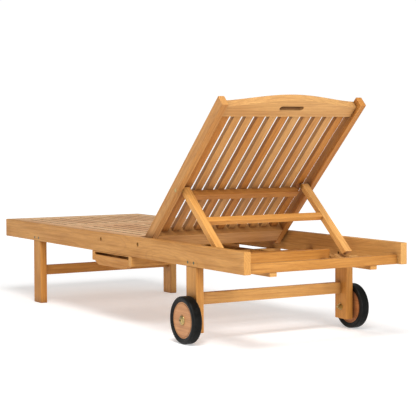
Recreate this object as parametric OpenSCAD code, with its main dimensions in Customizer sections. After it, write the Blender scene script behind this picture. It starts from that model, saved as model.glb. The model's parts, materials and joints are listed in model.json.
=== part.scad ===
/* [Overall] */
// Length of the side rails, foot end to head end
length = 2000; // [1950:10:2050]
// Width over the side rails
width = 676; // [660:2:700]
// Height of the seat deck's top face
deck_top = 343; // [340:1:346]

/* [Frame] */
// Thickness of a side rail
rail_t = 27; // [26:1:28]
// Height of a side rail
rail_h = 76; // [74:1:78]
// Thickness of a leg
leg_t = 30; // [28:1:32]
// Width of a leg along the frame
leg_w = 70; // [64:1:76]
// How far a leg's outer face sits behind the rail's outer face
leg_inset = 2; // [2:0.5:5]
// Distance from the foot end to the middle of the foot legs
foot_leg_y = 341; // [320:1:360]
// Distance from the foot end to the wheel axle
axle_y = 1657; // [1650:1:1664]

/* [Seat] */
// Thickness of the deck boards
deck_t = 15; // [13:1:16]
// Width of a seat slat
seat_slat_w = 37; // [34:1:40]
// Distance from one seat slat to the next
seat_pitch = 48.75; // [48:0.05:49]

/* [Backrest] */
// Angle of the backrest as stored, above the flat position
recline = 44; // [43:0.5:45]
// Width of a backrest stile, seen from the front
stile_w = 25; // [23:1:25]
// Depth of a backrest stile
stile_d = 42; // [41:0.5:42]
// Length of a backrest stile
stile_l = 769; // [760:1:772]
// Width of a backrest slat
back_slat_w = 30; // [28:1:33]
// Distance from one backrest slat to the next
back_pitch = 48.8; // [48.5:0.1:49]
// Rise of the arch on the crest rail
crest_arch = 32; // [24:1:34]

/* [Prop] */
// Distance from the backrest hinge to the prop's pivot
prop_reach = 306; // [305:0.5:307]
// Length of a prop leg from its pivot to the end of its foot
prop_l = 356; // [350:0.5:356]
// Depth of a prop leg
prop_d = 22; // [20:1:22]
// Slope of the prop below the horizontal, as stored
prop_slope = 41; // [41:0.5:42]
// Distance from one notch of the rack to the next
notch_pitch = 88; // [86:1:89]

/* [Wheels] */
// Radius of the tyre
tyre_r = 83; // [80:1:84]
// Width of the tyre
tyre_w = 38; // [36:1:40]
// Radius of the wooden wheel disc
disc_r = 64; // [60:1:66]
// Thickness of the wooden wheel disc
disc_t = 30; // [28:1:32]

/* [Tray] */
// Width of the tray's front board along the frame
tray_w = 282; // [276:1:282]
// Height of the tray's front board
tray_h = 39; // [36:1:45]
// Thickness of the tray's front board
tray_front_t = 18; // [15:1:20]

/* [Hidden] */
$fn = 64;

teak = "#c9945f";
teak_pale = "#d9b08c";
teak_orange = "#cf8a48";
teak_red = "#b8683c";
brass = "#a98f4e";
rubber = "#1c1c1c";

// Heights and widths of the frame
half_l = length / 2;
half_w = width / 2;
rail_in = half_w - rail_t;
rail_top = deck_top;
rail_bot = rail_top - rail_h;
deck_bot = deck_top - deck_t;
leg_out = half_w - leg_inset;
leg_in = leg_out - leg_t;
axle_z = tyre_r;
head_leg_bot = 38;

// Mortise and tenon that hold a leg up in its rail
tenon_t = 12;
tenon_w = 56;
tenon_h = 45;
tenon_mid = half_w - 15;
tenon_gap = 0.2;
pin_r = 5;
pin_z = rail_bot + 14;
pin_spread = 20;
fit_gap = 0.1;

// Stretchers between the legs
stretcher_t = 25;
stretcher_h = 41;
stub_t = 15;
stub_h = 29;
stub_l = 12;
foot_stretcher_z = 119;
head_stretcher_z = 132;
foot_stretcher_y = foot_leg_y;
head_stretcher_y = axle_y - 10;

// Cross rails at the head end, and the racks between them
low_rail_t = 25;
head_end_y = 1954;
head_cross_y = 1655;
rack_rear_y = 1450;
head_end_h = 33;
rack_rear_h = 16;
rack_in = 240;
rack_t = 35;
rack_start = rack_rear_y + low_rail_t;
notch_floor = 9;
notch_count = 4;
last_notch_y = 1793;
last_crest = 20;
crest_fall = 2.2;
incline_run = 36;

// Battens under the frame, and the guides of the tray
batten_in = 195;
batten_w = 28;
batten_h = 14;
guide_t = 24;
guide_h = 38;
guide_foot_y = 885;
tray_gap = 1;
tray_y = guide_foot_y + guide_t + tray_gap;
guide_head_y = tray_y + tray_w + tray_gap;
lip_d = 10;
lip_h = 8;
lip_setback = 40;
header_h = 4;

// Tray
tray_clear = 0.5;
tray_floor_z = rail_bot - guide_h + lip_h + 0.3;
tray_top = rail_bot - batten_h - 2;
tray_tail = -222;
runner_w = 22;
tray_back_t = 18;
tray_slat_t = 10;
tray_slat_count = 8;
tray_slat_w = 50;
stop_x = -106;
stop_w = 20;
stop_bar_w = 28;
stop_block_h = 11;
stop_block_l = 40;
tray_bevel = 28;
tray_bevel_h = 13;

// Seat deck
edge_strip_w = 37;
strip_in = rail_in - edge_strip_w;
seat_end = 1232;
seat_rail_1 = [27, 82];
seat_rail_2 = [500, 45];
seat_rail_3 = [555, 96];
seat_rail_4 = [1172, 60];
slat_count = 11;
bearer_h = 45;
bearer_t = 26;
bearer_foot_y = 55;
bearer_gap_y = 530;
bearer_gap_t = 40;
bearer_mid_y = 950;
hinge_bearer_y = 1195;
hinge_bearer_h = 31;

// Hinge of the backrest
hinge_y = 1268;
hinge_drop = 27;
hinge_z = deck_top - hinge_drop;
hinge_bolt_r = 4;
hinge_head_r = 7.5;
hinge_head_t = 5;
sink_depth = 9;
sink_r = 8;
insert_r = 6;
running = 0.05;

// Backrest in its own frame: y runs up it from the hinge, z out of its front face
stile_foot = -22;
stile_out = 303;
stile_in = stile_out - stile_w;
back_front = hinge_drop;
back_rear = back_front - stile_d;
bottom_rail_y = -2;
bottom_rail_w = 62;
back_slat_t = 17;
back_slat_sink = 2;
crest_y = 676;
crest_end_h = 50;
crest_t = 29;
slot_w = 100;
slot_h = 18;
slot_y = 716;
prop_batten_y = 262;
prop_batten_w = 27;
prop_batten_half = 238;
prop_batten_rear = back_front - 45;

// Prop, with y running from its pivot to its foot
prop_drop = 6;
prop_out = 275;
prop_w = 29;
prop_heel = 9.2;
prop_in = prop_out - prop_w;
prop_pivot_r = 4;
prop_bar_y = 150;
prop_bar_w = 23;
prop_bar_d = 20;
prop_nut_r = 7;
prop_nut_t = 5;
pivot_y = hinge_y + prop_reach * cos(recline) + prop_drop * sin(recline);
pivot_z = hinge_z + prop_reach * sin(recline) - prop_drop * cos(recline);

// Wheels
tyre_in = half_w + 1;
tyre_mid = tyre_in + tyre_w / 2;
disc_in = tyre_mid - disc_t / 2;
disc_out = tyre_mid + disc_t / 2;
axle_r = 5;
bush_r = 8;
axle_cap_r = 17;
axle_cap_h = 8.5;
axle_socket_r = 4;
axle_socket_d = 5;
axle_washer_r = 15;
axle_nut_r = 9;
axle_nut_t = 7;

// A box given by its low corner and its size, with y counted from the foot end
module block(x, y, z, sx, sy, sz) {
    translate([x, y - half_l, z])
        cube([sx, sy, sz]);
}

// A round bar along x from x0 to x1
module bar_x(x0, x1, y, z, r) {
    translate([x0, y - half_l, z])
        rotate([0, 90, 0])
            cylinder(h = x1 - x0, r = r);
}

// A ring along x from x0 to x1
module ring_x(x0, x1, y, z, r_out, r_in) {
    difference() {
        bar_x(x0, x1, y, z, r_out);
        bar_x(x0 - 1, x1 + 1, y, z, r_in);
    }
}

// The same piece on the left side, and mirrored on the right side
module both_sides() {
    children();
    mirror([1, 0, 0])
        children();
}

module right_side() {
    mirror([1, 0, 0])
        children();
}

// Moves a piece from the backrest's own frame to its stored place
module on_backrest() {
    translate([0, hinge_y - half_l, hinge_z])
        rotate([recline, 0, 0])
            children();
}

// Moves a piece from the prop's own frame to its stored place
module on_prop() {
    translate([0, pivot_y - half_l, pivot_z])
        rotate([-prop_slope, 0, 0])
            children();
}

module side_rail() {
    color(teak)
    difference() {
        block(rail_in, 0, rail_bot, rail_t, length, rail_h);
        for (y = [foot_leg_y, axle_y]) {
            block(tenon_mid - tenon_t / 2 - tenon_gap, y - tenon_w / 2 - tenon_gap, rail_bot - 1,
                tenon_t + 2 * tenon_gap, tenon_w + 2 * tenon_gap, tenon_h + 1 + tenon_gap);
            for (side = [-1, 1])
                bar_x(rail_in - 1, half_w + 1, y + side * pin_spread, pin_z, pin_r + fit_gap);
        }
        for (y = [bearer_mid_y + bearer_t / 2, hinge_y]) {
            bar_x(rail_in - 1, half_w + 1, y, hinge_z, hinge_bolt_r + fit_gap);
            bar_x(half_w - sink_depth, half_w + 1, y, hinge_z, sink_r);
        }
    }
}

module side_rail_left() {
    side_rail();
}

module side_rail_right() {
    right_side()
        side_rail();
}

module foot_end_rail() {
    color(teak)
        block(-rail_in, 0, rail_bot, 2 * rail_in, rail_t, rail_h);
}

module head_end_rail() {
    color(teak_orange)
        block(-rail_in, head_end_y, rail_bot, 2 * rail_in, low_rail_t, head_end_h);
}

module head_cross_rail() {
    color(teak)
        block(-rack_in, head_cross_y, rail_bot, 2 * rack_in, low_rail_t, head_end_h + 1);
}

module rack_rear_rail() {
    color(teak)
        block(-rail_in, rack_rear_y, rail_bot, 2 * rail_in, low_rail_t, rack_rear_h);
}

// Height of a crest, counted from the notch nearest the head end
function crest_at(i) = last_crest - crest_fall * i;
function notch_at(i) = last_notch_y - notch_pitch * i;

// Outline of a rack: a flat floor, a steep face up to each crest and a slope down from it
module rack() {
    teeth = [for (i = [notch_count - 1 : -1 : 0]) each [
        [notch_at(i), notch_floor],
        [notch_at(i), crest_at(i)],
        [notch_at(i) + incline_run, notch_floor]
    ]];
    outline = concat([[rack_start, 0], [rack_start, notch_floor]], teeth,
        [[head_end_y, notch_floor], [head_end_y, 0]]);
    color(teak)
    translate([rack_in, -half_l, rail_bot])
        rotate([90, 0, 90])
            linear_extrude(rack_t)
                polygon(outline);
}

module rack_left() {
    rack();
}

module rack_right() {
    right_side()
        rack();
}

module underside_battens() {
    color(teak)
    both_sides()
        block(batten_in, guide_foot_y, rail_bot - batten_h, batten_w,
            head_end_y + 23 - guide_foot_y, batten_h);
}

module leg(y, bottom, stretcher_y, stretcher_z) {
    color(teak)
    difference() {
        union() {
            block(leg_in, y - leg_w / 2, bottom, leg_t, leg_w, rail_bot - bottom);
            block(tenon_mid - tenon_t / 2, y - tenon_w / 2, rail_bot - 1, tenon_t, tenon_w,
                tenon_h + 1);
        }
        for (side = [-1, 1])
            bar_x(leg_in, half_w, y + side * pin_spread, pin_z, pin_r + fit_gap);
        block(leg_in - 1, stretcher_y - stub_t / 2 - fit_gap,
            stretcher_z + (stretcher_h - stub_h) / 2 - fit_gap,
            stub_l + 1 + fit_gap, stub_t + 2 * fit_gap, stub_h + 2 * fit_gap);
    }
}

module foot_leg() {
    leg(foot_leg_y, 0, foot_stretcher_y, foot_stretcher_z);
}

module head_leg() {
    difference() {
        leg(axle_y, head_leg_bot, head_stretcher_y, head_stretcher_z);
        bar_x(leg_in - 1, leg_out + 1, axle_y, axle_z, axle_r + fit_gap);
    }
}

module leg_foot_left() {
    foot_leg();
}

module leg_foot_right() {
    right_side()
        foot_leg();
}

module leg_head_left() {
    head_leg();
}

module leg_head_right() {
    right_side()
        head_leg();
}

module stretcher(y, z) {
    stub_half = leg_in + stub_l;
    color(teak)
    union() {
        block(-leg_in, y - stretcher_t / 2, z, 2 * leg_in, stretcher_t, stretcher_h);
        block(-stub_half, y - stub_t / 2, z + (stretcher_h - stub_h) / 2, 2 * stub_half, stub_t,
            stub_h);
    }
}

module foot_stretcher() {
    stretcher(foot_stretcher_y, foot_stretcher_z);
}

module head_stretcher() {
    stretcher(head_stretcher_y, head_stretcher_z);
}

// A guide bar, with a lip along its lower edge on the side that faces the tray
module tray_guide(y, lip_y) {
    color(teak)
    difference() {
        union() {
            block(-half_w, y, rail_bot - guide_h, width, guide_t, guide_h);
            block(-half_w, lip_y, rail_bot - guide_h, width - lip_setback, lip_d + 1, lip_h);
        }
        both_sides()
            block(batten_in - fit_gap, y - 1, rail_bot - batten_h - fit_gap,
                batten_w + 2 * fit_gap, guide_t + 2, batten_h + 1);
    }
}

module tray_guide_foot() {
    tray_guide(guide_foot_y, guide_foot_y + guide_t - 1);
}

module tray_guide_head() {
    tray_guide(guide_head_y, guide_head_y - lip_d);
}

module tray_headers() {
    color(teak)
    both_sides()
        block(rail_in, guide_foot_y + guide_t, rail_bot - header_h, rail_t,
            guide_head_y - guide_foot_y - guide_t, header_h);
}

module seat_edge_strip() {
    color(teak_pale)
        block(strip_in, rail_t, deck_bot, edge_strip_w, seat_end - rail_t, deck_t);
}

module seat_edge_strip_left() {
    seat_edge_strip();
}

module seat_edge_strip_right() {
    right_side()
        seat_edge_strip();
}

module seat_cross_rails() {
    color(teak_pale)
    for (rail = [seat_rail_1, seat_rail_2, seat_rail_3, seat_rail_4])
        block(-strip_in, rail[0], deck_bot, 2 * strip_in, rail[1], deck_t);
}

module seat_slats(y0, y1) {
    color(teak_pale)
    for (i = [0 : slat_count - 1])
        block((i - (slat_count - 1) / 2) * seat_pitch - seat_slat_w / 2, y0, deck_bot,
            seat_slat_w, y1 - y0, deck_t);
}

module foot_section_slats() {
    seat_slats(seat_rail_1[0] + seat_rail_1[1], seat_rail_2[0]);
}

module rear_section_slats() {
    seat_slats(seat_rail_3[0] + seat_rail_3[1], seat_rail_4[0]);
}

module bearer(y, t, h) {
    block(-rail_in, y, deck_bot - h, 2 * rail_in, t, h);
}

module seat_bearers() {
    color(teak)
    difference() {
        union() {
            bearer(bearer_foot_y, bearer_t, bearer_h);
            bearer(bearer_gap_y, bearer_gap_t, bearer_h);
            bearer(bearer_mid_y, bearer_t, bearer_h);
        }
        both_sides()
            bar_x(rail_in - 41, rail_in + 1, bearer_mid_y + bearer_t / 2, hinge_z,
                hinge_bolt_r + fit_gap);
    }
}

module hinge_bearer() {
    color(teak)
        bearer(hinge_bearer_y, bearer_t, hinge_bearer_h);
}

module leg_pins() {
    color(brass)
    both_sides()
        for (y = [foot_leg_y, axle_y])
            for (side = [-1, 1])
                bar_x(rail_in, half_w, y + side * pin_spread, pin_z, pin_r);
}

// A bolt whose round head lies in the rail's counterbore and whose shank ends at tip
module rail_bolt(y, tip) {
    union() {
        bar_x(half_w - sink_depth, half_w - sink_depth + hinge_head_t, y, hinge_z, hinge_head_r);
        bar_x(tip, half_w - sink_depth + 1, y, hinge_z, hinge_bolt_r);
    }
}

module bearer_bolts() {
    color(brass)
    both_sides()
        rail_bolt(bearer_mid_y + bearer_t / 2, rail_in - 40);
}

module hinge_bolts() {
    color(brass)
    both_sides()
        rail_bolt(hinge_y, stile_in + 1);
}

module hinge_washers() {
    color(brass)
    both_sides()
        ring_x(stile_out + 0.3, rail_in, hinge_y, hinge_z, 10, hinge_bolt_r + fit_gap);
}

// A bolt with a low domed head outside the wheel and a shank through the leg
module axle_bolt() {
    dome_r = (pow(axle_cap_r, 2) + pow(axle_cap_h, 2)) / (2 * axle_cap_h);
    face = disc_out + 0.5;
    tip = leg_in - 2 - axle_nut_t - 3;
    steps = 8;
    rise = [for (i = [0 : steps])
        let (r = axle_cap_r - (axle_cap_r - axle_socket_r) * i / steps)
            [r, sqrt(dome_r * dome_r - r * r) - dome_r + axle_cap_h]];
    outline = concat([[0, tip - face], [axle_r, tip - face], [axle_r, 0]], rise,
        [[axle_socket_r, axle_cap_h - axle_socket_d], [0, axle_cap_h - axle_socket_d]]);
    translate([face, axle_y - half_l, axle_z])
        rotate([0, 90, 0])
            rotate_extrude()
                polygon(outline);
}

module axle_bolts() {
    color(brass)
    both_sides()
        axle_bolt();
}

// An outer washer between leg and wheel, and a thin one under the nut
module axle_washers() {
    color(brass)
    both_sides() {
        ring_x(leg_out, tyre_in - 0.5, axle_y, axle_z, axle_washer_r, axle_r + fit_gap);
        ring_x(leg_in - 2, leg_in, axle_y, axle_z, axle_washer_r - 3, axle_r + fit_gap);
    }
}

module axle_nuts() {
    color(brass)
    both_sides()
        difference() {
            translate([leg_in - 2 - axle_nut_t, axle_y - half_l, axle_z])
                rotate([0, 90, 0])
                    cylinder(h = axle_nut_t, r = axle_nut_r, $fn = 6);
            bar_x(leg_in - 20, leg_in, axle_y, axle_z, axle_r + fit_gap);
        }
}

// A stile, with its bore for the hinge insert and its bore for the prop's pivot bolt
module stile() {
    color(teak)
    on_backrest()
        difference() {
            translate([stile_in, stile_foot, back_rear])
                cube([stile_w, stile_l, stile_d]);
            translate([stile_in + 1, 0, 0])
                rotate([0, 90, 0])
                    cylinder(h = stile_w, r = insert_r + fit_gap);
            translate([stile_in - 1, prop_reach, -prop_drop])
                rotate([0, 90, 0])
                    cylinder(h = stile_w + 2, r = prop_pivot_r + fit_gap);
            translate([stile_out - 4, prop_reach, -prop_drop])
                rotate([0, 90, 0])
                    cylinder(h = 5, r = 7 + fit_gap);
        }
}

module backrest_stile_left() {
    stile();
}

module backrest_stile_right() {
    right_side()
        stile();
}

// How far the crest rises at a share of the half width: all at the middle, none at the ends
function crest_rise(share) = crest_arch * pow(cos(90 * share), 1.5);

// The crest rail's front outline: straight below, a soft arch above, with the hand slot cut out
module crest_outline() {
    steps = 20;
    top = [for (i = [-steps : steps])
        [stile_in * i / steps, crest_y + crest_end_h + crest_rise(min(abs(i) / steps, 1))]];
    difference() {
        polygon(concat([[stile_in, crest_y], [-stile_in, crest_y]], top));
        translate([-(slot_w - slot_h) / 2, slot_y - slot_h / 2])
            square([slot_w - slot_h, slot_h]);
        for (side = [-1, 1])
            translate([side * (slot_w - slot_h) / 2, slot_y])
                circle(d = slot_h);
    }
}

module backrest_crest_rail() {
    color(teak_orange)
    on_backrest()
        translate([0, 0, back_front - crest_t])
            linear_extrude(crest_t)
                crest_outline();
}

module backrest_bottom_rail() {
    color(teak)
    on_backrest()
        translate([-stile_in, bottom_rail_y, back_rear])
            cube([2 * stile_in, bottom_rail_w, stile_d]);
}

module backrest_slats() {
    slat_y = bottom_rail_y + bottom_rail_w;
    color(teak)
    on_backrest()
        for (i = [0 : slat_count - 1])
            translate([(i - (slat_count - 1) / 2) * back_pitch - back_slat_w / 2, slat_y,
                back_front - back_slat_sink - back_slat_t])
                cube([back_slat_w, crest_y - slat_y, back_slat_t]);
}

module prop_batten() {
    batten_front = back_front - back_slat_sink - back_slat_t;
    color(teak)
    on_backrest()
        translate([-prop_batten_half, prop_batten_y, prop_batten_rear])
            cube([2 * prop_batten_half, prop_batten_w, batten_front - prop_batten_rear]);
}

module hinge_inserts() {
    color(brass)
    on_backrest()
        both_sides()
            difference() {
                translate([stile_in + 1, 0, 0])
                    rotate([0, 90, 0])
                        cylinder(h = stile_w - 1, r = insert_r);
                translate([stile_in, 0, 0])
                    rotate([0, 90, 0])
                        cylinder(h = stile_w + 1, r = hinge_bolt_r + running);
            }
}

module prop_pivot_bolts() {
    color(brass)
    on_backrest()
        both_sides()
            translate([0, prop_reach, -prop_drop])
                union() {
                    translate([prop_in - prop_nut_t - 1, 0, 0])
                        rotate([0, 90, 0])
                            cylinder(h = stile_out - prop_in + prop_nut_t + 1, r = prop_pivot_r);
                    translate([stile_out - 4 + fit_gap, 0, 0])
                        rotate([0, 90, 0])
                            cylinder(h = 4 - fit_gap, r = 7);
                }
}

module prop_spacers() {
    color(brass)
    on_backrest()
        both_sides()
            translate([prop_out + 0.3, prop_reach, -prop_drop])
                rotate([0, 90, 0])
                    difference() {
                        cylinder(h = stile_in - prop_out - 0.3, r = 8);
                        translate([0, 0, -1])
                            cylinder(h = 20, r = prop_pivot_r + fit_gap);
                    }
}

module prop_nuts() {
    color(brass)
    on_backrest()
        both_sides()
            translate([prop_in - prop_nut_t - 0.3, prop_reach, -prop_drop])
                rotate([0, 90, 0])
                    difference() {
                        cylinder(h = prop_nut_t, r = prop_nut_r, $fn = 6);
                        translate([0, 0, -1])
                            cylinder(h = 20, r = prop_pivot_r + fit_gap);
                    }
}

// A prop leg, round at its pivot and cut aslant at its foot, bored for its bush
module prop_leg() {
    end_r = prop_d / 2;
    color(teak_orange)
    on_prop()
        difference() {
            union() {
                translate([prop_in, 0, 0])
                    rotate([90, 0, 90])
                        linear_extrude(prop_w)
                            polygon([
                                [0, -end_r],
                                [prop_l - prop_heel, -end_r],
                                [prop_l, end_r],
                                [0, end_r]
                            ]);
                translate([prop_in, 0, 0])
                    rotate([0, 90, 0])
                        cylinder(h = prop_w, r = end_r);
            }
            translate([prop_in - 1, 0, 0])
                rotate([0, 90, 0])
                    cylinder(h = prop_w + 2, r = insert_r + fit_gap);
        }
}

module prop_leg_left() {
    prop_leg();
}

module prop_leg_right() {
    right_side()
        prop_leg();
}

module prop_cross_bar() {
    color(teak_orange)
    on_prop()
        translate([-prop_in, prop_bar_y, -prop_bar_d / 2])
            cube([2 * prop_in, prop_bar_w, prop_bar_d]);
}

module prop_bushes() {
    color(brass)
    on_prop()
        both_sides()
            translate([prop_in, 0, 0])
                rotate([0, 90, 0])
                    difference() {
                        cylinder(h = prop_w, r = insert_r);
                        translate([0, 0, -1])
                            cylinder(h = prop_w + 2, r = prop_pivot_r + running);
                    }
}

// The front board's outline, with its lower corners cut back
module tray_front_board() {
    bottom = tray_top + 2 - tray_h;
    color(teak)
    translate([half_w - tray_front_t, tray_y - half_l, bottom])
        rotate([90, 0, 90])
            linear_extrude(tray_front_t)
                polygon([
                    [0, tray_bevel_h],
                    [tray_bevel, 0],
                    [tray_w - tray_bevel, 0],
                    [tray_w, tray_bevel_h],
                    [tray_w, tray_h],
                    [0, tray_h]
                ]);
}

module tray_back_board() {
    color(teak)
        block(tray_tail, tray_y + tray_clear + runner_w, tray_floor_z, tray_back_t,
            tray_w - 2 * tray_clear - 2 * runner_w, tray_top - tray_floor_z);
}

module tray_runners() {
    color(teak)
    for (y = [tray_y + tray_clear, tray_y + tray_w - tray_clear - runner_w])
        block(tray_tail, y, tray_floor_z, half_w - tray_front_t - tray_tail, runner_w,
            tray_top - tray_floor_z);
}

module tray_slats() {
    span = half_w - tray_front_t - tray_tail;
    pitch = (span - tray_slat_w) / (tray_slat_count - 1);
    inset = lip_d + 1.5;
    color(teak)
    for (i = [0 : tray_slat_count - 1])
        block(tray_tail + i * pitch, tray_y + inset, tray_floor_z - tray_slat_t, tray_slat_w,
            tray_w - 2 * inset, tray_slat_t);
}

module tray_stop_bar() {
    color(teak)
        block(stop_x - stop_w - (stop_bar_w - stop_w) / 2, tray_y + tray_clear + runner_w,
            tray_floor_z, stop_bar_w, tray_w - 2 * tray_clear - 2 * runner_w,
            tray_top - tray_floor_z);
}

module tray_stop_block() {
    color(teak)
        block(stop_x - stop_w, tray_y + (tray_w - stop_block_l) / 2, tray_top, stop_w,
            stop_block_l, stop_block_h);
}

// The tyre's section, turned about the axle, with two shallow steps on each shoulder
module tyre() {
    step = 4;
    color(rubber)
    translate([tyre_in, axle_y - half_l, axle_z])
        rotate([0, 90, 0])
            rotate_extrude($fn = 128)
                polygon([
                    [disc_r + fit_gap, step],
                    [disc_r + 7, 0],
                    [tyre_r - step, 0],
                    [tyre_r - 1.5, step],
                    [tyre_r, 2 * step],
                    [tyre_r, tyre_w - 2 * step],
                    [tyre_r - 1.5, tyre_w - step],
                    [tyre_r - step, tyre_w],
                    [disc_r + 7, tyre_w],
                    [disc_r + fit_gap, tyre_w - step]
                ]);
}

module tyre_left() {
    tyre();
}

module tyre_right() {
    right_side()
        tyre();
}

module wheel_disc() {
    color(teak_red)
        ring_x(disc_in, disc_out, axle_y, axle_z, disc_r, bush_r + fit_gap);
}

module wheel_disc_left() {
    wheel_disc();
}

module wheel_disc_right() {
    right_side()
        wheel_disc();
}

module wheel_bush() {
    color(brass)
        ring_x(disc_in, disc_out, axle_y, axle_z, bush_r, axle_r + running);
}

module wheel_bush_left() {
    wheel_bush();
}

module wheel_bush_right() {
    right_side()
        wheel_bush();
}

side_rail_left();
side_rail_right();
foot_end_rail();
head_end_rail();
head_cross_rail();
rack_rear_rail();
rack_left();
rack_right();
underside_battens();
leg_foot_left();
leg_foot_right();
leg_head_left();
leg_head_right();
foot_stretcher();
head_stretcher();
tray_guide_foot();
tray_guide_head();
tray_headers();
seat_edge_strip_left();
seat_edge_strip_right();
seat_cross_rails();
seat_bearers();
hinge_bearer();
foot_section_slats();
rear_section_slats();
leg_pins();
bearer_bolts();
hinge_bolts();
hinge_washers();
axle_bolts();
axle_washers();
axle_nuts();
backrest_stile_left();
backrest_stile_right();
backrest_crest_rail();
backrest_bottom_rail();
backrest_slats();
prop_batten();
hinge_inserts();
prop_pivot_bolts();
prop_spacers();
prop_nuts();
prop_leg_left();
prop_leg_right();
prop_cross_bar();
prop_bushes();
tray_front_board();
tray_back_board();
tray_runners();
tray_slats();
tray_stop_bar();
tray_stop_block();
tyre_left();
tyre_right();
wheel_disc_left();
wheel_disc_right();
wheel_bush_left();
wheel_bush_right();
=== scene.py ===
import json
import math
import random

import bpy
from mathutils import Matrix, Vector


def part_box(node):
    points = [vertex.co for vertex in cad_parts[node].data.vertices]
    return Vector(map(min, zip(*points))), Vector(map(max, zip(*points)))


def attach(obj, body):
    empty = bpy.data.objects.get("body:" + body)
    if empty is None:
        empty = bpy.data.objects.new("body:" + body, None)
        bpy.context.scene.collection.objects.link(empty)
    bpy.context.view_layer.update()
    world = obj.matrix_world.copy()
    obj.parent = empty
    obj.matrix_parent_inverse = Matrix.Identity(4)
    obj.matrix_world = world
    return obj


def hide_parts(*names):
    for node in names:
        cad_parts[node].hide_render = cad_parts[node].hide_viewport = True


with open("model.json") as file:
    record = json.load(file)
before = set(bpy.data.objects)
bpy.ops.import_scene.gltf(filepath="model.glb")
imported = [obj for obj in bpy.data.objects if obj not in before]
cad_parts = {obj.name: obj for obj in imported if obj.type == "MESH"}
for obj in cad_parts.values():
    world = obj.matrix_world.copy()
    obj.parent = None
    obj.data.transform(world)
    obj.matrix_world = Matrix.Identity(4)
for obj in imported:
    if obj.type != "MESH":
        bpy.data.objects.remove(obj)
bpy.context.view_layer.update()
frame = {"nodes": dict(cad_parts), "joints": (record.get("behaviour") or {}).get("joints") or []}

MM = 0.001
LIMITS = {joint["name"]: joint["range_deg"] for joint in frame["joints"] if "range_deg" in joint}
# The backrest's stored angle, which is how far it falls to lie flat
RECLINE = math.radians(-LIMITS["backrest_recline"][0])
# How steeply the stored prop falls from its pivot to its feet
PROP_SLOPE = math.radians(41)

# Radii of the softened edges: sanded rails, sawn boards, small boards and the deck's crisp slats
SANDED = 2.2 * MM
SAWN = 1.6 * MM
SMALL = 1.0 * MM
CRISP = 0.5 * MM

# Points closer than this are one point
SAME_POINT = 0.01 * MM
# How far a drill starts outside the wood
PAST = 9 * MM

# How each body's boards are turned: the frame and tray lie square, the backrest and prop lean
X, Y, Z = 0, 1, 2
SQUARE = Matrix.Identity(3)
LEANING = Matrix.Rotation(RECLINE, 3, "X")
PROPPED = Matrix.Rotation(-PROP_SLOPE, 3, "X")

# One seed, so that every run draws the same boards
chance = random.Random(41)


# ---------------------------------------------------------------- node helpers

def new_material(name):
    """An empty material with its shader and output."""
    made = bpy.data.materials.new(name)
    made.use_nodes = True
    tree = made.node_tree
    shader = tree.nodes["Principled BSDF"]
    return made, tree, shader


def step(tree, kind, inputs=None, **settings):
    """One node with its settings and inputs; an input is a value or another node's socket."""
    made = tree.nodes.new(kind)
    for key, value in settings.items():
        setattr(made, key, value)
    for key, value in (inputs or {}).items():
        socket = made.inputs[key]
        if isinstance(value, bpy.types.NodeSocket):
            tree.links.new(value, socket)
        else:
            socket.default_value = value
    return made


def scaled(tree, vector, scale, location=(0, 0, 0)):
    """The vector stretched along its own axes."""
    inputs = {"Vector": vector, "Scale": scale, "Location": location}
    return step(tree, "ShaderNodeMapping", inputs).outputs["Vector"]


def noise(tree, vector, scale, detail=3.0, roughness=0.55):
    """Soft random values between 0 and 1."""
    inputs = {"Vector": vector, "Scale": scale, "Detail": detail, "Roughness": roughness}
    return step(tree, "ShaderNodeTexNoise", inputs).outputs["Fac"]


def spread(tree, value, low, high, to_low=0.0, to_high=1.0):
    """Maps the stretch from low to high onto a new stretch, and holds it there."""
    inputs = {"Value": value, "From Min": low, "From Max": high}
    inputs.update({"To Min": to_low, "To Max": to_high})
    return step(tree, "ShaderNodeMapRange", inputs).outputs["Result"]


def mixed(tree, factor, first, second, how="MIX"):
    """Two colours blended."""
    made = step(tree, "ShaderNodeMix", data_type="RGBA", blend_type=how)
    for index, value in ((0, factor), (6, first), (7, second)):
        socket = made.inputs[index]
        if isinstance(value, bpy.types.NodeSocket):
            tree.links.new(value, socket)
        else:
            socket.default_value = value
    return made.outputs[2]


def bumped(tree, shader, height, strength, distance):
    """Gives the shader a fine relief."""
    inputs = {"Height": height, "Strength": strength, "Distance": distance}
    made = step(tree, "ShaderNodeBump", inputs)
    tree.links.new(made.outputs["Normal"], shader.inputs["Normal"])


def shade(red, green, blue):
    """An opaque colour."""
    return (red, green, blue, 1.0)


# ---------------------------------------------------------------- materials

# How fine each layer of the wood is: repeats per metre along the board and in its two widths
WANDER = (1.9, 7.0, 7.0)
CLOUDS = (3.0, 16.0, 16.0)
STREAKS = (2.2, 150.0, 150.0)
FIBRES = (16.0, 700.0, 700.0)
PORES = (45.0, 1500.0, 1500.0)


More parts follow.
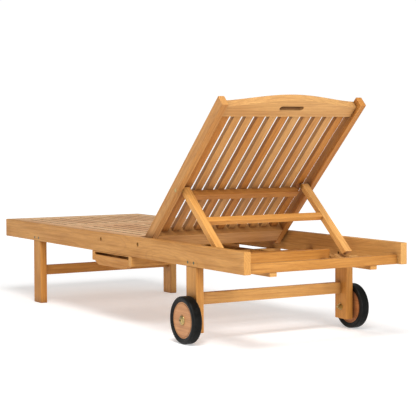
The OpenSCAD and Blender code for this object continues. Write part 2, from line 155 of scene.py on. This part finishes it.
def wood(name, pale, deep, dark, ring_gap=8 * MM, gloss=0.5, painted_shade=0.7, enclosed=0.3):
    """Oiled teak. Rings round a far-off pith, fibres and pores along each board, paler cut ends.
    Corners get painted shade, up to the share given for it, reached where their openness is down
    to enclosed."""
    made, tree, shader = new_material(name)
    grain = step(tree, "ShaderNodeAttribute", attribute_name="grain").outputs["Vector"]
    tone = step(tree, "ShaderNodeAttribute", attribute_name="tone").outputs["Fac"]
    end = step(tree, "ShaderNodeAttribute", attribute_name="end_grain").outputs["Fac"]

    # The trunk's slow wander pushes the rings sideways, which draws the long arches
    slow = scaled(tree, grain, WANDER)
    wander = step(tree, "ShaderNodeTexNoise", {"Vector": slow, "Scale": 1.0, "Detail": 2.0})
    push = step(tree, "ShaderNodeVectorMath", {0: wander.outputs["Color"], 1: (0.5, 0.5, 0.5)},
                operation="SUBTRACT")
    push = step(tree, "ShaderNodeVectorMath", {0: push.outputs[0], 1: (0.0, 0.10, 0.10)},
                operation="MULTIPLY")
    moved = step(tree, "ShaderNodeVectorMath", {0: grain, 1: push.outputs[0]}, operation="ADD")
    rings = step(tree, "ShaderNodeTexWave",
                 {"Vector": scaled(tree, moved.outputs[0], (0.15, 1.0, 1.0)),
                  "Scale": 0.314 / ring_gap, "Distortion": 1.6, "Detail": 3.0,
                  "Detail Scale": 1.6, "Detail Roughness": 0.6},
                 wave_type="RINGS", rings_direction="X", wave_profile="SIN").outputs["Fac"]

    streaks = noise(tree, scaled(tree, grain, STREAKS), 1.0, 5.0, 0.62)
    fibres = noise(tree, scaled(tree, grain, FIBRES), 1.0, 3.0, 0.65)
    clouds = noise(tree, scaled(tree, grain, CLOUDS), 1.0, 3.0, 0.6)
    specks = noise(tree, scaled(tree, grain, PORES), 1.0, 1.0)
    pores = spread(tree, specks, 0.32, 0.40, 1.0, 0.0)

    # Slow clouds of colour first, then thin late-wood lines, streaks, fibres and pores
    colour = mixed(tree, spread(tree, clouds, 0.36, 0.64), shade(*pale), shade(*deep))
    late_wood = spread(tree, rings, 0.62, 1.0, 0.0, 0.20)
    colour = mixed(tree, late_wood, colour, shade(*dark))
    streak_part = spread(tree, streaks, 0.47, 0.70, 0.0, 0.38)
    colour = mixed(tree, streak_part, colour, shade(*dark))
    bright_part = spread(tree, streaks, 0.46, 0.30, 0.0, 0.45)
    colour = mixed(tree, bright_part, colour, shade(*pale))
    fibre_part = spread(tree, fibres, 0.42, 0.72, 0.0, 0.40)
    colour = mixed(tree, fibre_part, colour, shade(*dark))
    colour = mixed(tree, spread(tree, pores, 0.0, 1.0, 0.0, 0.30), colour, shade(*dark))

    # Cut ends are dry and pale, and show the rings edge on with short dark flecks
    end_colour = mixed(tree, spread(tree, rings, 0.35, 1.0, 0.0, 0.5), shade(*pale), shade(*deep))
    end_colour = mixed(tree, spread(tree, fibres, 0.45, 0.75, 0.0, 0.5), end_colour, shade(*dark))
    colour = mixed(tree, spread(tree, end, 0.0, 1.0, 0.0, 0.8), colour, end_colour)

    # Painted shade: corners and gaps where boards meet are darkened where ambient occlusion finds
    # them enclosed
    nearby = step(tree, "ShaderNodeAmbientOcclusion", {"Distance": 34 * MM}, samples=6)
    corner = spread(tree, nearby.outputs["AO"], enclosed, 0.95, painted_shade, 0.0)
    colour = mixed(tree, corner, colour, shade(dark[0] * 0.45, dark[1] * 0.4, dark[2] * 0.35))

    # Every board has its own tone
    toned = step(tree, "ShaderNodeHueSaturation",
                 {"Hue": spread(tree, tone, 0.0, 1.0, 0.493, 0.506),
                  "Saturation": spread(tree, tone, 0.0, 1.0, 1.06, 0.94),
                  "Value": spread(tree, tone, 0.0, 1.0, 0.89, 1.08), "Color": colour})
    tree.links.new(toned.outputs["Color"], shader.inputs["Base Color"])

    rough = spread(tree, streaks, 0.3, 0.7, gloss - 0.05, gloss + 0.14)
    tree.links.new(rough, shader.inputs["Roughness"])
    relief = step(tree, "ShaderNodeMath", {0: fibres, 1: rings}, operation="ADD")
    relief = step(tree, "ShaderNodeMath", {0: relief.outputs[0], 1: pores}, operation="SUBTRACT")
    bumped(tree, shader, relief.outputs[0], 0.35, 0.25 * MM)
    shader.inputs["Specular IOR Level"].default_value = 0.28
    return made


def aged_brass(name, bright, brown):
    """Brass that has been outdoors: brown and green patches over a brushed yellow metal."""
    made, tree, shader = new_material(name)
    place = step(tree, "ShaderNodeTexCoord").outputs["Object"]
    patches = noise(tree, place, 160.0, 5.0, 0.65)
    specks = noise(tree, place, 900.0, 3.0, 0.6)
    colour = mixed(tree, spread(tree, patches, 0.4, 0.7), shade(*bright), shade(*brown))
    colour = mixed(tree, spread(tree, specks, 0.62, 0.75, 0.0, 0.6), colour,
                   shade(0.20, 0.24, 0.15))
    tree.links.new(colour, shader.inputs["Base Color"])
    tree.links.new(spread(tree, patches, 0.35, 0.7, 0.24, 0.5), shader.inputs["Roughness"])
    shader.inputs["Metallic"].default_value = 1.0
    bumped(tree, shader, specks, 0.25, 0.15 * MM)
    return made


def tyre_rubber(name):
    """Black rubber with a fine grain and a little dust."""
    made, tree, shader = new_material(name)
    place = step(tree, "ShaderNodeTexCoord").outputs["Object"]
    dust = noise(tree, place, 55.0, 5.0, 0.6)
    skin = noise(tree, place, 1400.0, 2.0, 0.5)
    colour = mixed(tree, spread(tree, dust, 0.5, 0.8, 0.0, 0.5), shade(0.004, 0.0045, 0.004),
                   shade(0.020, 0.020, 0.018))
    tree.links.new(colour, shader.inputs["Base Color"])
    tree.links.new(spread(tree, dust, 0.3, 0.75, 0.30, 0.55), shader.inputs["Roughness"])
    shader.inputs["Specular IOR Level"].default_value = 0.16
    bumped(tree, shader, skin, 0.3, 0.2 * MM)
    return made


FINISHES = {
    "frame_wood": wood("oiled_teak_frame", (0.65, 0.328, 0.088), (0.52, 0.242, 0.054),
                       (0.27, 0.100, 0.024)),
    # Deck boards: paler teak, partly their own colour and partly a painted sheen of their lit top
    # faces; their gaps get deeper painted shade
    "deck_wood": wood("oiled_teak_deck_and_sheen", (0.84, 0.490, 0.225), (0.74, 0.400, 0.165),
                      (0.36, 0.160, 0.055), painted_shade=1.0, enclosed=0.5),
    "backrest_wood": wood("oiled_teak_backrest", (0.60, 0.292, 0.082), (0.47, 0.202, 0.048),
                          (0.25, 0.090, 0.021), painted_shade=0.85),
    "prop_wood": wood("oiled_teak_prop", (0.84, 0.460, 0.145), (0.74, 0.380, 0.100),
                      (0.38, 0.140, 0.032)),
    "wheel_wood": wood("reddish_wheel_wood", (0.64, 0.285, 0.105), (0.54, 0.218, 0.074),
                       (0.27, 0.095, 0.036), ring_gap=7 * MM, gloss=0.42),
    "brass": aged_brass("aged_brass", (0.58, 0.43, 0.17), (0.25, 0.19, 0.09)),
    "weathered_brass": aged_brass("weathered_brass", (0.12, 0.14, 0.09), (0.05, 0.065, 0.04)),
    "tyre": tyre_rubber("tyre_rubber"),
}


# ---------------------------------------------------------------- modelling helpers

def nothing_selected():
    """Leaves edit mode and clears the selection."""
    if bpy.context.object and bpy.context.object.mode != "OBJECT":
        bpy.ops.object.mode_set(mode="OBJECT")
    bpy.ops.object.select_all(action="DESELECT")


def make_active(piece):
    """Selects one piece and nothing else."""
    nothing_selected()
    piece.select_set(True)
    bpy.context.view_layer.objects.active = piece


def applied(piece, kind, **settings):
    """Adds one modifier to the piece and applies it."""
    make_active(piece)
    modifier = piece.modifiers.new(kind.lower(), kind)
    for key, value in settings.items():
        setattr(modifier, key, value)
    bpy.ops.object.modifier_apply(modifier=modifier.name)


def copy_of(node):
    """A CAD node's mesh as a piece of its own, with its loose triangles merged into flat faces."""
    source = frame["nodes"][node]
    piece = bpy.data.objects.new(node + "_piece", source.data.copy())
    bpy.context.scene.collection.objects.link(piece)
    piece.data.materials.clear()
    make_active(piece)
    bpy.ops.object.mode_set(mode="EDIT")
    bpy.ops.mesh.select_all(action="SELECT")
    bpy.ops.mesh.remove_doubles(threshold=SAME_POINT)
    bpy.ops.mesh.dissolve_limited(angle_limit=math.radians(0.5))
    bpy.ops.object.mode_set(mode="OBJECT")
    return piece


def corners(points):
    """The lowest and the highest corner of the box round some points."""
    low = Vector([min(p[axis] for p in points) for axis in range(3)])
    high = Vector([max(p[axis] for p in points) for axis in range(3)])
    return low, high


def solids_of(node, turn):
    """The box round each separate solid of a CAD node, measured along the turned axes."""
    piece = copy_of(node)
    make_active(piece)
    bpy.ops.object.mode_set(mode="EDIT")
    bpy.ops.mesh.select_all(action="SELECT")
    bpy.ops.mesh.separate(type="LOOSE")
    bpy.ops.object.mode_set(mode="OBJECT")
    back = turn.transposed()
    found = []
    for part in list(bpy.context.selected_objects):
        found.append(corners([back @ vertex.co for vertex in part.data.vertices]))
        bpy.data.objects.remove(part)
    return sorted(found, key=lambda pair: tuple(round(v, 4) for v in pair[0]))


def even_shading(piece):
    """Smooth shading that leaves the wide flat faces flat."""
    make_active(piece)
    bpy.ops.object.shade_smooth_by_angle(angle=math.radians(40))
    applied(piece, "WEIGHTED_NORMAL", weight=100, keep_sharp=True)


def softened(piece, radius, segments=3):
    """Rounds every sharp edge of the piece a little, as sandpaper does."""
    applied(piece, "BEVEL", width=radius, segments=segments, limit_method="ANGLE",
            angle_limit=math.radians(35), use_clamp_overlap=False)
    even_shading(piece)


def plank(name, low, high, turn, radius=SAWN):
    """One board: a block of its true size, laid along the turned axes, with softened edges."""
    nothing_selected()
    bpy.ops.mesh.primitive_cube_add(size=1, location=turn @ ((low + high) / 2),
                                    rotation=turn.to_euler(), scale=high - low)
    piece = bpy.context.object
    piece.name = name
    bpy.ops.object.transform_apply(location=True, rotation=True, scale=True)
    softened(piece, radius)
    return piece


def drilled(piece, start, end, radius):
    """Cuts a round hole from one point to the other."""
    along = end - start
    nothing_selected()
    bpy.ops.mesh.primitive_cylinder_add(vertices=40, radius=radius, depth=along.length,
                                        location=(start + end) / 2,
                                        rotation=along.to_track_quat("Z", "Y").to_euler())
    cutter = bpy.context.object
    applied(piece, "BOOLEAN", object=cutter, operation="DIFFERENCE", solver="EXACT")
    bpy.data.objects.remove(cutter)


def mark_grain(piece, turn, along):
    """Stores where each point lies in its own board's wood, the board's tone, and its cut ends."""
    mesh = piece.data
    back = turn.transposed()
    points = [back @ vertex.co for vertex in mesh.vertices]
    low, high = corners(points)
    middle = (low + high) / 2
    shift = Vector((chance.uniform(-9, 9), chance.uniform(0.015, 0.07),
                    chance.choice((-1, 1)) * chance.uniform(0.012, 0.09)))
    order = (along, (along + 1) % 3, (along + 2) % 3)
    grain = mesh.attributes.new("grain", "FLOAT_VECTOR", "POINT")
    for index, point in enumerate(points):
        local = point - middle
        grain.data[index].vector = Vector([local[axis] for axis in order]) + shift
    tone = mesh.attributes.new("tone", "FLOAT", "POINT")
    value = chance.random()
    for index in range(len(points)):
        tone.data[index].value = value
    axis = turn.col[along]
    ends = mesh.attributes.new("end_grain", "FLOAT", "FACE")
    for face in mesh.polygons:
        ends.data[face.index].value = 1.0 if abs(face.normal.dot(axis)) > 0.7 else 0.0


def fitted(piece, node, body, finish):
    """Gives a piece its finish and its place on a body."""
    piece.data.materials.clear()
    piece.data.materials.append(FINISHES[finish])
    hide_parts(node)
    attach(piece, body)
    return piece


def boards(node, body, finish, along, turn=SQUARE, radius=SAWN):
    """Every board of a CAD node as a softened plank with its own grain."""
    made = []
    for count, (low, high) in enumerate(solids_of(node, turn), 1):
        piece = plank(f"{node}_{count:02d}", low, high, turn, radius)
        mark_grain(piece, turn, along)
        made.append(fitted(piece, node, body, finish))
    return made


def shaped(node, body, finish, along, turn=SQUARE, radius=SAWN):
    """A board of another outline, taken from its CAD node and softened."""
    piece = copy_of(node)
    softened(piece, radius)
    mark_grain(piece, turn, along)
    return fitted(piece, node, body, finish)


def turned(name, outline, centre, side, steps=96):
    """A piece turned on a lathe about a line along x. The outline is closed: pairs of how far
    out from the middle of the frame a point lies, and its radius."""
    nothing_selected()
    bpy.ops.mesh.primitive_plane_add(size=MM, location=centre)
    piece = bpy.context.object
    piece.name = name
    bpy.ops.object.transform_apply(location=True, rotation=True, scale=True)
    bpy.ops.object.mode_set(mode="EDIT")
    bpy.ops.mesh.select_mode(type="VERT")
    bpy.ops.mesh.select_all(action="SELECT")
    bpy.ops.mesh.merge(type="CENTER")
    place = Vector(centre)
    for out, radius in outline + outline[:1]:
        goal = Vector((side * out, centre[1], centre[2] + radius))
        bpy.ops.mesh.extrude_region_move(TRANSFORM_OT_translate={"value": goal - place})
        place = goal
    # The first edge only led from the axis to the outline
    bpy.ops.object.mode_set(mode="OBJECT")
    for vertex in piece.data.vertices:
        vertex.select = vertex.index == 0
    bpy.ops.object.mode_set(mode="EDIT")
    bpy.ops.mesh.delete(type="VERT")
    bpy.ops.mesh.select_all(action="SELECT")
    bpy.ops.mesh.remove_doubles(threshold=SAME_POINT)
    bpy.ops.mesh.select_all(action="SELECT")
    bpy.ops.mesh.spin(steps=steps, angle=2 * math.pi, center=centre, axis=(1, 0, 0))
    bpy.ops.mesh.select_all(action="SELECT")
    bpy.ops.mesh.remove_doubles(threshold=SAME_POINT)
    bpy.ops.mesh.normals_make_consistent(inside=False)
    bpy.ops.object.mode_set(mode="OBJECT")
    bpy.ops.object.shade_smooth_by_angle(angle=math.radians(32))
    return piece


# ---------------------------------------------------------------- frame

def side_rail(node, side):
    """A side rail, with holes for the leg pins and sunk holes for the bolts."""
    low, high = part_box(node)
    rail = plank(node + "_piece", low, high, SQUARE, SANDED)
    pin_room = 0.5 * MM
    pin_depth = 12 * MM
    head_bore = 8 * MM
    head_depth = 9 * MM
    shank_bore = 4.2 * MM
    shank_start = 5 * MM
    outer = high.x if side > 0 else low.x
    inner = low.x if side > 0 else high.x
    pin_low, pin_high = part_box("leg_pins")
    pin_r = (pin_high.z - pin_low.z) / 2
    pin_z = (pin_low.z + pin_high.z) / 2
    head_leg_low, head_leg_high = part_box("leg_head_left")
    spread_y = pin_high.y - pin_r - (head_leg_low.y + head_leg_high.y) / 2
    for leg in ("leg_foot_left", "leg_head_left"):
        leg_low, leg_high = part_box(leg)
        for way in (-1, 1):
            y = (leg_low.y + leg_high.y) / 2 + way * spread_y
            drilled(rail, Vector((outer - side * pin_depth, y, pin_z)),
                    Vector((outer + side * PAST, y, pin_z)), pin_r + pin_room)
    for bolts in ("bearer_bolts", "hinge_bolts"):
        bolt_low, bolt_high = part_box(bolts)
        y = (bolt_low.y + bolt_high.y) / 2
        z = (bolt_low.z + bolt_high.z) / 2
        drilled(rail, Vector((outer - side * head_depth, y, z)),
                Vector((outer + side * PAST, y, z)), head_bore)
        drilled(rail, Vector((inner - side * PAST, y, z)),
                Vector((outer - side * shank_start, y, z)), shank_bore)
    even_shading(rail)
    mark_grain(rail, SQUARE, Y)
    fitted(rail, node, "frame", "frame_wood")


def leg(node):
    """A leg with its tenon: a block whose top is set in and drawn up into the rail."""
    low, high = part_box(node)
    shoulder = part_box("side_rail_left")[0].z
    shoulder_width = 7 * MM
    nothing_selected()
    size = Vector((high.x - low.x, high.y - low.y, shoulder - low.z))
    middle = Vector(((low.x + high.x) / 2, (low.y + high.y) / 2, (low.z + shoulder) / 2))
    bpy.ops.mesh.primitive_cube_add(size=1, location=middle, scale=size)
    piece = bpy.context.object
    piece.name = node + "_piece"
    bpy.ops.object.transform_apply(location=True, rotation=True, scale=True)
    bpy.ops.object.mode_set(mode="EDIT")
    bpy.ops.mesh.select_mode(type="FACE")
    bpy.ops.mesh.select_all(action="DESELECT")
    bpy.ops.object.mode_set(mode="OBJECT")
    for face in piece.data.polygons:
        face.select = face.normal.z > 0.9
    bpy.ops.object.mode_set(mode="EDIT")
    bpy.ops.mesh.inset(thickness=shoulder_width, depth=0)
    bpy.ops.mesh.extrude_region_move(TRANSFORM_OT_translate={"value": (0, 0, high.z - shoulder)})
    bpy.ops.object.mode_set(mode="OBJECT")
    softened(piece, 2.0 * MM)
    mark_grain(piece, SQUARE, Z)
    fitted(piece, node, "frame", "frame_wood")


def build_frame():
    """The fixed frame. Boards of another outline than a block are taken from their nodes."""
    side_rail("side_rail_left", 1)
    side_rail("side_rail_right", -1)
    for node in ("leg_foot_left", "leg_foot_right", "leg_head_left", "leg_head_right"):
        leg(node)
    for node in ("foot_end_rail", "head_end_rail", "head_cross_rail", "rack_rear_rail",
                 "seat_bearers", "hinge_bearer"):
        boards(node, "frame", "frame_wood", X)
    for node in ("underside_battens", "tray_headers"):
        boards(node, "frame", "frame_wood", Y, radius=SMALL)
    for node in ("foot_stretcher", "head_stretcher", "tray_guide_foot", "tray_guide_head"):
        shaped(node, "frame", "frame_wood", X)
    for node in ("rack_left", "rack_right"):
        shaped(node, "frame", "frame_wood", Y, radius=0.9 * MM)


def build_deck():
    """The two slatted sections of the seat and their edge boards."""
    for node in ("seat_edge_strip_left", "seat_edge_strip_right", "foot_section_slats",
                 "rear_section_slats"):
        boards(node, "frame", "deck_wood", Y, radius=CRISP)
    boards("seat_cross_rails", "frame", "deck_wood", X, radius=CRISP)


# ---------------------------------------------------------------- backrest and prop

def stile(node, side):
    """A stile, with the bore for its hinge insert and the sunk bore for the prop's bolt."""
    (low, high), = solids_of(node, LEANING)
    piece = plank(node + "_piece", low, high, LEANING, SANDED)
    outer = high.x if side > 0 else low.x
    # Each bore: what sits in it, its radius, and its depth from the outer face
    bores = (("hinge_inserts", 6.3 * MM, 26 * MM), ("prop_pivot_bolts", 7.3 * MM, 4 * MM))
    for bolts, radius, depth in bores:
        bolt_low, bolt_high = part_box(bolts)
        y = (bolt_low.y + bolt_high.y) / 2
        z = (bolt_low.z + bolt_high.z) / 2
        drilled(piece, Vector((outer - side * depth, y, z)),
                Vector((outer + side * PAST, y, z)), radius)
    even_shading(piece)
    mark_grain(piece, LEANING, Y)
    fitted(piece, node, "backrest", "backrest_wood")


def build_backrest():
    """The backrest's frame, its slats and the batten that the prop folds against."""
    stile("backrest_stile_left", 1)
    stile("backrest_stile_right", -1)
    shaped("backrest_crest_rail", "backrest", "backrest_wood", X, LEANING, SANDED)
    boards("backrest_bottom_rail", "backrest", "backrest_wood", X, LEANING)
    boards("backrest_slats", "backrest", "backrest_wood", Y, LEANING, 0.8 * MM)
    boards("prop_batten", "backrest", "backrest_wood", X, LEANING)


def build_prop():
    """The prop's two legs and its cross bar."""
    for node in ("prop_leg_left", "prop_leg_right"):
        shaped(node, "prop", "prop_wood", Y, PROPPED, 1.2 * MM)
    boards("prop_cross_bar", "prop", "prop_wood", X, PROPPED)


# ---------------------------------------------------------------- tray

def build_tray():
    """The slatted tray that slides out under the seat."""
    shaped("tray_front_board", "tray", "frame_wood", Y, radius=2.0 * MM)
    for node in ("tray_back_board", "tray_slats", "tray_stop_bar", "tray_stop_block"):
        boards(node, "tray", "frame_wood", Y, radius=SMALL)
    boards("tray_runners", "tray", "frame_wood", X, radius=SMALL)


# ---------------------------------------------------------------- wheels

def arc(out, radius, size, start, end, count):
    """Points of a rounded corner round a centre, for an outline."""
    points = []
    for index in range(count + 1):
        angle = math.radians(start + (end - start) * index / count)
        points.append((out + size * math.cos(angle), radius + size * math.sin(angle)))
    return points


def tyre(node, body, side):
    """A tyre with round shoulders, two steps down each wall and grooves round its tread."""
    low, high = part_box(node)
    inner, outer = sorted((abs(low.x), abs(high.x)))
    centre = (0, (low.y + high.y) / 2, (low.z + high.z) / 2)
    radius = (high.z - low.z) / 2
    seat = radius - 19 * MM
    shoulder = 7 * MM
    rim = arc(outer - shoulder, radius - shoulder, shoulder, 90, 0, 8)
    step_depth = 1.4 * MM
    step_slope = 0.8 * MM
    first_step = radius - 9 * MM
    second_step = radius - 13 * MM
    lip = radius - 17 * MM
    lip_lean = 0.6 * MM
    seat_depth = 4 * MM
    wall = [
        (outer, first_step),
        (outer - step_depth, first_step - step_slope),
        (outer - step_depth, second_step),
        (outer - 2 * step_depth, second_step - step_slope),
        (outer - 2 * step_depth - lip_lean, lip),
        (outer - seat_depth, seat),
    ]
    far_wall = [(inner + outer - out, r) for out, r in reversed(wall)]
    far_rim = [(inner + outer - out, r) for out, r in reversed(rim)]
    tread = []
    grooves = 5
    half = 0.9 * MM
    floor = radius - 1.1 * MM
    span = outer - inner - 2 * shoulder
    for index in range(grooves):
        groove = inner + shoulder + span * (index + 0.5) / grooves
        tread += [(groove - half, radius), (groove - half / 2, floor),
                  (groove + half / 2, floor), (groove + half, radius)]
    outline = rim + wall + far_wall + far_rim + tread
    piece = turned(node + "_piece", outline, centre, side, 128)
    fitted(piece, node, body, "tyre")


def wheel_disc(node, body, side):
    """A wooden disc with a rounded rim, a raised boss round its bush and a shallow groove."""
    low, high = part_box(node)
    inner, outer = sorted((abs(low.x), abs(high.x)))
    centre = (0, (low.y + high.y) / 2, (low.z + high.z) / 2)
    radius = (high.z - low.z) / 2
    bore = 8.1 * MM
    boss = 19 * MM
    level = outer - 1.2 * MM
    groove_floor = level - 1.4 * MM
    slope = 0.8 * MM
    chamfer = 1.2 * MM
    groove_in = radius - 7 * MM
    groove_out = radius - 3.6 * MM
    face = [
        (outer, bore), (outer, boss), (level, boss + chamfer),
        (level, groove_in), (groove_floor, groove_in + slope),
        (groove_floor, groove_out - slope), (level, groove_out),
        (level, radius - chamfer), (level - chamfer, radius),
    ]
    back = [(inner + outer - out, r) for out, r in reversed(face)]
    piece = turned(node + "_piece", face + back, centre, side, 96)
    mark_grain(piece, SQUARE, Y)
    fitted(piece, node, body, "wheel_wood")


def axle_bolt(side, name):
    """An axle bolt: domed head with a small socket, a rolled edge and a long shank."""
    low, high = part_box("axle_bolts")
    centre = (0, (low.y + high.y) / 2, (low.z + high.z) / 2)
    tip = high.x
    disc_face = max(abs(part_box("wheel_disc_left")[0].x), abs(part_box("wheel_disc_left")[1].x))
    under = disc_face + 0.5 * MM
    head = (high.z - low.z) / 2
    edge = 1.6 * MM
    lip = 1.0 * MM
    socket = 4 * MM
    socket_depth = 5 * MM
    centre_hole = 0.3 * MM
    rise = tip - under - edge
    dome = []
    steps = 9
    for index in range(steps + 1):
        out = head - lip - (head - lip - socket) * index / steps
        drop = (out / head) ** 2
        dome.append((under + edge + rise * (1 - drop), out))
    shank = 5 * MM
    shank_tip = 290 * MM
    chamfer = 1 * MM
    outline = [(shank_tip, centre_hole), (shank_tip, shank - chamfer),
               (shank_tip + chamfer, shank), (under, shank), (under, head - 0.6 * MM),
               (under + 0.6 * MM, head), (under + 1.3 * MM, head - 0.2 * MM)]
    outline += dome
    outline += [(tip - socket_depth, socket - 0.4 * MM), (tip - socket_depth, centre_hole)]
    piece = turned(name, outline, centre, side, 64)
    fitted(piece, "axle_bolts", "frame", "brass")


def build_wheels():
    """On each side a tyre, a disc and the bolt that they turn on."""
    for word, side in (("left", 1), ("right", -1)):
        body = "wheel_" + word
        tyre("tyre_" + word, body, side)
        wheel_disc("wheel_disc_" + word, body, side)
        axle_bolt(side, "axle_bolt_" + word)


def finish_hardware():
    """The small brass parts keep their own shapes and get the aged brass."""
    shown = ("leg_pins", "bearer_bolts", "hinge_bolts", "hinge_washers", "axle_washers",
             "axle_nuts", "hinge_inserts", "prop_pivot_bolts", "prop_spacers", "prop_nuts",
             "prop_bushes", "wheel_bush_left", "wheel_bush_right")
    for node in shown:
        piece = frame["nodes"][node]
        piece.data.materials.clear()
        finish = "weathered_brass" if node == "leg_pins" else "brass"
        piece.data.materials.append(FINISHES[finish])


# ---------------------------------------------------------------- studio

def studio_floor():
    """A pale floor that glows a little, and more so far away, where it meets the white room."""
    nothing_selected()
    bpy.ops.mesh.primitive_plane_add(size=60, location=(0, 0, 0))
    floor = bpy.context.object
    floor.name = "studio_floor"
    made, tree, shader = new_material("pale_floor")
    shader.inputs["Base Color"].default_value = shade(0.80, 0.80, 0.80)
    shader.inputs["Roughness"].default_value = 0.9
    shader.inputs["Specular IOR Level"].default_value = 0.0
    shader.inputs["Emission Color"].default_value = shade(1, 1, 1)
    place = step(tree, "ShaderNodeTexCoord").outputs["Object"]
    away = step(tree, "ShaderNodeVectorMath", {0: place}, operation="LENGTH").outputs["Value"]
    near, far = 1.2, 4.0
    glow = spread(tree, away, near, far, 0.36, 0.66)
    tree.links.new(glow, shader.inputs["Emission Strength"])
    floor.data.materials.append(made)


def soft_light(name, place, target, size, power):
    """A round soft box that faces its target."""
    light = bpy.data.lights.new(name, "AREA")
    light.shape = "DISK"
    light.size = size
    light.energy = power
    lamp = bpy.data.objects.new(name, light)
    bpy.context.scene.collection.objects.link(lamp)
    lamp.location = place
    aim = Vector(target) - Vector(place)
    lamp.rotation_euler = aim.to_track_quat("-Z", "Y").to_euler()


def studio_lights():
    """Two soft boxes past the head end, one high and one low, in a room with bright walls."""
    soft_light("key_light", (1.7, 2.7, 4.8), (0, 0.2, 0.3), 2.2, 190)
    soft_light("head_fill", (0.9, 6.2, 2.0), (0, 0.5, 0.45), 2.0, 105)
    world = bpy.data.worlds.new("studio")
    bpy.context.scene.world = world
    world.use_nodes = True
    tree = world.node_tree
    sky = tree.nodes["Background"]
    sky.inputs["Color"].default_value = shade(1, 1, 1)
    way = step(tree, "ShaderNodeTexCoord").outputs["Generated"]
    height = step(tree, "ShaderNodeSeparateXYZ", {"Vector": way}).outputs["Z"]
    wall = spread(tree, height, 0.14, 0.40, 1.03, 0.42)
    tree.links.new(wall, sky.inputs["Strength"])
    bpy.context.scene.view_settings.view_transform = "Standard"


def camera():
    """A camera past the head end, on the tray's side, looking nearly level along the lounger.
    Its angles are in radians."""
    yaw = 0.5347
    pitch = -0.0379
    roll = -0.0050
    ahead = Vector((-math.sin(yaw) * math.cos(pitch), -math.cos(yaw) * math.cos(pitch),
                    math.sin(pitch)))
    right = ahead.cross(Vector((0, 0, 1))).normalized()
    up = right.cross(ahead)
    right, up = (math.cos(roll) * right + math.sin(roll) * up,
                 math.cos(roll) * up - math.sin(roll) * right)
    lens = bpy.data.cameras.new("camera")
    lens.lens = 114.33
    lens.sensor_width = 36
    lens.shift_x = 0.0241
    lens.shift_y = -0.0624
    made = bpy.data.objects.new("camera", lens)
    bpy.context.scene.collection.objects.link(made)
    turn = Matrix((right, up, -ahead)).transposed().to_4x4()
    made.matrix_world = Matrix.Translation((2.6357, 4.5896, 0.7324)) @ turn
    bpy.context.scene.camera = made


camera()
build_frame()
build_deck()
build_backrest()
build_prop()
build_tray()
build_wheels()
finish_hardware()
studio_floor()
studio_lights()
